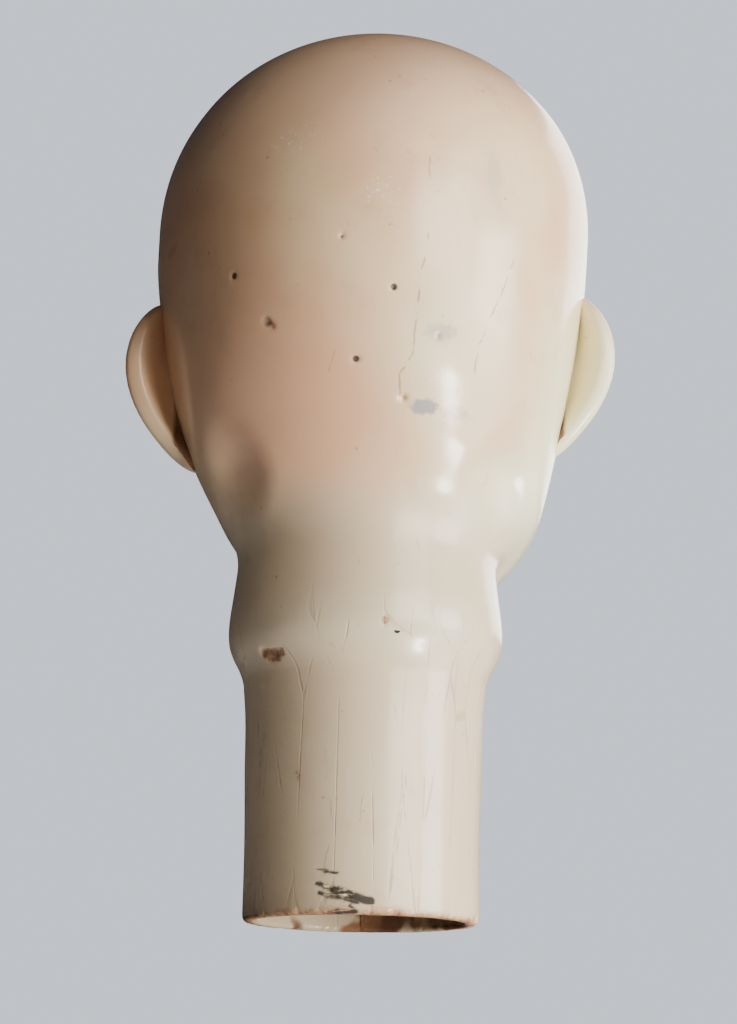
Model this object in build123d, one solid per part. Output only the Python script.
from build123d import *
import os
from math import cos, pi, radians, sin

# A hollow display head for hairdressing practice, moulded as two half shells that meet on one
# upright seam through the ears.  It stands upright on the rim of its neck: the origin is the
# centre of the rim, +Z points to the crown, and the face looks along -Y.

# Driving dimensions, mm
neck_diameter = 80.0
neck_bore = 70.0
collar_diameter = 95.2
collar_height = 98.0
waist_diameter = 90.4
waist_height = 121.0
crown_height = 316.0
head_width = 155.2
back_depth = 88.0
face_depth = 101.0
shell_wall = 5.0
spigot_height = 4.0
collar_bulge = 0.3
throat_overlap = 6.5

nose_height = 178.0
nose_length = 46.0
nose_width = 30.0
nose_reach = 17.0
bridge_width = 13.2
bridge_reach = 8.5

ear_height = 192.0
ear_back_offset = 1.0
ear_length = 57.0
ear_width = 34.0
ear_thickness = 7.0
ear_edge_radius = 2.8
ear_flare = 20.0
ear_seat_lean = 11.0
ear_seat_depth = 2.2
ear_root_length = 44.0
ear_root_width = 17.0

strip_width = 22.0
strip_thickness = 1.2
strip_split_share = 0.68

block_bottom = 76.0
block_thickness = 30.0
block_ledge = 1.5

peg_bore = 18.0
bush_wall = 4.0
flange_diameter = 52.0
flange_thickness = 2.5
screw_count = 3
screw_diameter = 4.0
screw_head_diameter = 7.6
screw_length = 20.0

nail_count = 3
nail_height = 92.0
nail_turn = 13.0
nail_diameter = 1.6
nail_head_diameter = 2.2
nail_head_thickness = 1.0
nail_length = 26.0

# Clearances, mm
bond_gap = 0.2
block_gap = 0.3
bush_gap = 0.1
screw_gap = 0.05
nail_gap = 0.05

# Worked-out sizes
neck_radius = neck_diameter / 2
bore_radius = neck_bore / 2
collar_radius = collar_diameter / 2
waist_radius = waist_diameter / 2
seat_radius = bore_radius + block_ledge
block_radius = seat_radius - block_gap
block_top = block_bottom + block_thickness
bush_radius = peg_bore / 2 + bush_wall
section_points = 24
waist_slope = (-0.12, 1.0)
bridge_centre = face_depth * 0.94
tip_centre = face_depth * 0.955
nose_root = face_depth * 0.985 - shell_wall * 0.7
upright = (Align.CENTER, Align.CENTER, Align.MIN)

# Neck outline: share of the height from rim to collar crest, share of the way from the neck
# radius out to the crest radius.  The tube flares a little, then swells into the collar.
neck_outline = [
    (0.00, 0.00),
    (0.25, 0.00),
    (0.50, 0.08),
    (0.78, 0.20),
    (0.84, 0.29),
    (0.88, 0.50),
    (0.92, 0.78),
    (0.96, 0.95),
    (1.00, 1.00),
]

# Head outline from the waist of the neck to the crown.  Each level is an oval that tilts up
# towards the back, so that the lowest ones follow the jaw: share of the rise, tilt as rise
# over run, and shares of half the head width, the back depth and the face depth.
head_outline = [
    (0.008, 0.02, 0.590, 0.520, 0.495),
    (0.030, 0.20, 0.620, 0.530, 0.680),
    (0.060, 0.28, 0.683, 0.585, 0.865),
    (0.130, 0.26, 0.760, 0.688, 0.955),
    (0.200, 0.22, 0.825, 0.805, 0.940),
    (0.282, 0.18, 0.883, 0.898, 0.975),
    (0.364, 0.14, 0.928, 0.949, 0.985),
    (0.456, 0.10, 0.966, 0.989, 0.975),
    (0.549, 0.06, 0.996, 1.000, 0.995),
    (0.631, 0.03, 1.000, 1.000, 0.990),
    (0.713, 0.00, 0.969, 0.955, 0.945),
    (0.795, 0.00, 0.899, 0.864, 0.850),
    (0.877, 0.00, 0.775, 0.722, 0.700),
    (0.938, 0.00, 0.610, 0.551, 0.515),
    (0.979, 0.00, 0.385, 0.340, 0.320),
    (1.000, 0.00, 0.130, 0.115, 0.105),
]


def oval(height, tilt, side, back, front):
    """Closed level line: one half ellipse behind the seam plane and one in front of it."""
    points = []
    for step in range(section_points):
        angle = 2 * pi * step / section_points
        depth = back if cos(angle) > 0 else front
        y = depth * cos(angle)
        points.append(Vector(side * sin(angle), y, height + tilt * y))
    return Wire([Edge.make_spline(points, periodic=True)])


def head_levels(inset):
    """Ovals of the head from just above the waist to the flat of the crown, moved in by inset."""
    rise = crown_height - waist_height
    levels = []
    for share, tilt, side, back, front in head_outline:
        height = waist_height + inset + share * (rise - 2 * inset)
        half_width = side * head_width / 2 - inset * side ** 0.5
        back_reach = back * back_depth - inset * back ** 0.5
        face_reach = front * face_depth - inset * front ** 0.5
        levels.append(oval(height, tilt, half_width, back_reach, face_reach))
    return levels


def head_form(inset):
    """Solid bounded by a surface inset from the outside of the head, flat at both ends."""
    waist = waist_radius - inset
    start = [oval(waist_height, 0, waist, waist, waist)]
    if inset > 0:
        start = [oval(waist_height + step, 0, waist, waist, waist) for step in (-inset, inset)]
    return Solid.make_loft(start + head_levels(inset))


def neck_outside():
    """Points and curves of the neck's outside from rim to waist."""
    points = []
    for height_share, swell_share in neck_outline:
        radius = neck_radius + swell_share * (collar_radius - neck_radius)
        points.append((radius, height_share * collar_height))
    middle = (collar_height + waist_height) / 2
    points.append(((collar_radius + waist_radius) / 2 + collar_bulge, middle))
    points.append((waist_radius, waist_height))
    curves = Line(points[0], points[1]) + Spline(points[1:], tangents=[(0, 1), waist_slope])
    return points, curves


def neck_tube():
    """Neck from the rim to the waist: flared tube, collar, and a spigot inside the shells."""
    points, curves = neck_outside()
    spigot_radius = waist_radius - shell_wall - bond_gap
    spigot_top = waist_height + spigot_height
    inside = Polyline(
        points[-1],
        (spigot_radius, waist_height),
        (spigot_radius, spigot_top),
        (seat_radius, spigot_top),
        (seat_radius, block_bottom),
        (bore_radius, block_bottom),
        (bore_radius, 0),
        points[0],
    )
    return revolve(make_face(Plane.XZ * (curves + inside)), Axis.Z)


def tube_space(radius, low, high):
    """Upright cylinder on the neck's axis, turned so that its closing edge is off the seam plane."""
    turned = Location((0, 0, low), (0, 0, 45))
    return turned * Cylinder(radius, high - low, align=upright)


def ear_frame(side):
    """Seat of an ear: local z points out of the head, local y up, local x forward or back."""
    lean = radians(ear_seat_lean)
    share = (ear_height - waist_height) / (crown_height - waist_height)
    below = [row for row in head_outline if row[0] <= share][-1]
    above = [row for row in head_outline if row[0] > share][0]
    blend = (share - below[0]) / (above[0] - below[0])
    half_width = (below[2] + blend * (above[2] - below[2])) * head_width / 2
    seat = Vector(side * (half_width - ear_seat_depth), ear_back_offset, ear_height)
    outward = Vector(side * cos(lean), 0, -sin(lean))
    return Plane(origin=seat, x_dir=Vector(0, side, 0), z_dir=outward)


def ear_root(side, margin, height):
    """Oval boss by which the ear is bonded into its seat; grown by margin it is the seat."""
    outline = Ellipse(ear_root_width / 2 + margin, ear_root_length / 2 + margin)
    return ear_frame(side) * extrude(outline, height)


def ear(side, keep_clear):
    """One ear: an oval flap that flares outwards at the back, on an oval root."""
    slab = extrude(Ellipse(ear_width / 2, ear_length / 2), ear_thickness)
    slab = fillet(slab.edges(), ear_edge_radius)
    hinge = Pos(side * ear_root_width / 3, 0, ear_seat_depth) * Rot(0, -side * ear_flare, 0)
    flap = ear_frame(side) * hinge * slab
    flap = flap - keep_clear
    return flap + ear_root(side, 0, ear_seat_depth + ear_thickness / 2)


def nose():
    """Plain wedge of a nose, narrow at the bridge and wide at the tip, rooted in the wall."""
    bridge = Ellipse(bridge_width / 2, bridge_reach)
    tip = Ellipse(nose_width / 2, nose_reach)
    top = Pos(0, -bridge_centre, nose_height + nose_length / 2) * bridge
    low = Pos(0, -tip_centre, nose_height - nose_length / 2) * tip
    wedge = loft([low.face(), top.face()])
    size = (2 * nose_width, face_depth, 3 * nose_length)
    behind = Box(*size, align=(Align.CENTER, Align.MIN, Align.CENTER))
    return wedge - Pos(0, -nose_root, nose_height) * behind


def around(count, turn, radius, height):
    """Places evenly spaced round the neck's axis, the first turned from the back of the head."""
    places = []
    for step in range(count):
        angle = radians(turn + 360 * step / count)
        places.append((Vector(-sin(angle), cos(angle), 0), radius, height))
    return places


def nail(direction, radius, height, margin=0.0):
    """Round nail driven inwards from the collar, its head flush with the outside."""
    plane = Plane(origin=direction * radius + Vector(0, 0, height), z_dir=-direction)
    shank = Cylinder(nail_diameter / 2 + margin, nail_length, align=upright)
    head = Cylinder(nail_head_diameter / 2 + margin, nail_head_thickness, align=upright)
    return plane * (shank + head)


def screw(direction, radius, height, margin=0.0):
    """Countersunk wood screw pointing up, its head flush with the underside of the flange."""
    base = direction * radius + Vector(0, 0, height)
    head_radius = screw_head_diameter / 2 + margin
    shank_radius = screw_diameter / 2 + margin
    cone_height = head_radius - shank_radius
    cone = Cone(head_radius, shank_radius, cone_height, align=upright)
    shank = Cylinder(shank_radius, screw_length + margin, align=upright)
    return Pos(base.X, base.Y, base.Z) * (cone + shank)


def half_space(side):
    """Box around everything behind the seam plane (side 1) or in front of it (side -1)."""
    reach = 2 * crown_height
    box = Box(reach, reach, reach, align=(Align.CENTER, Align.MIN, Align.MIN))
    return box if side > 0 else Pos(0, -reach, 0) * box


def slab_at_seam(width, low, high, side=0):
    """Box across the seam, over both sides of the head or only one."""
    across = 2 * head_width
    align = {0: Align.CENTER, 1: Align.MIN, -1: Align.MAX}[side]
    return Pos(0, 0, low) * Box(across, width, high - low, align=(align, Align.CENTER, Align.MIN))


def neck_radius_at(height):
    """Outside radius of the neck or collar at a height, straight between its outline points."""
    share = height / collar_height
    for low, high in zip(neck_outline, neck_outline[1:]):
        if low[0] <= share <= high[0]:
            blend = (share - low[0]) / (high[0] - low[0])
            swell = low[1] + blend * (high[1] - low[1])
            return neck_radius + swell * (collar_radius - neck_radius)
    return collar_radius


def neck_block():
    """Wooden disc in the neck, bored for the bush and recessed for its flange."""
    disc = tube_space(block_radius, block_bottom, block_top)
    disc -= tube_space(bush_radius + bush_gap, block_bottom, block_top)
    recess_top = block_bottom + flange_thickness + bush_gap
    disc -= tube_space(flange_diameter / 2 + bush_gap, block_bottom, recess_top)
    return disc


def peg_bush():
    """Flanged metal tube that takes the peg of a table clamp."""
    body = tube_space(bush_radius, block_bottom, block_top)
    body += tube_space(flange_diameter / 2, block_bottom, block_bottom + flange_thickness)
    return body - tube_space(peg_bore / 2, block_bottom, block_top)


def seam_strips():
    """Reinforcing strips bonded inside over the seam: one each side and one over the crown."""
    band = head_form(shell_wall + bond_gap) - head_form(shell_wall + bond_gap + strip_thickness)
    start = waist_height + spigot_height + shell_wall
    split = waist_height + strip_split_share * (crown_height - waist_height)
    return {
        "left_seam_strip": band & slab_at_seam(strip_width, start, split, 1),
        "right_seam_strip": band & slab_at_seam(strip_width, start, split, -1),
        "crown_seam_strip": band & slab_at_seam(strip_width, split + bond_gap, crown_height),
    }


def build():
    """Every piece of the head by node name."""
    nail_places = around(nail_count, nail_turn, neck_radius_at(nail_height), nail_height)
    screw_radius = (bush_radius + flange_diameter / 2) / 2
    screw_places = around(screw_count, 0, screw_radius, block_bottom)

    shell = head_form(0) - head_form(shell_wall)
    shell -= tube_space(waist_radius - shell_wall, block_top, waist_height + throat_overlap)
    for side in (1, -1):
        shell -= ear_root(side, bond_gap, shell_wall * 3)

    block = neck_block()
    bush = peg_bush()
    for place in screw_places:
        block -= screw(*place, margin=screw_gap)
        bush -= screw(*place, margin=screw_gap)
    tube = neck_tube()
    for place in nail_places:
        block -= nail(*place, margin=nail_gap)
        tube -= nail(*place, margin=nail_gap)

    keep_clear = head_form(-bond_gap)
    pieces = {
        "face_shell": (shell & half_space(-1)) + nose(),
        "back_shell": shell & half_space(1),
        "neck_tube": tube,
        "left_ear": ear(1, keep_clear),
        "right_ear": ear(-1, keep_clear),
        "neck_block": block,
        "peg_bush": bush,
        "bush_screws": Compound(children=[screw(*place) for place in screw_places]),
        "block_nails": Compound(children=[nail(*place) for place in nail_places]),
    }
    pieces.update(seam_strips())
    return pieces


os.makedirs("parts", exist_ok=True)
for name, shape in build().items():
    export_step(shape, f"parts/{name}.step")
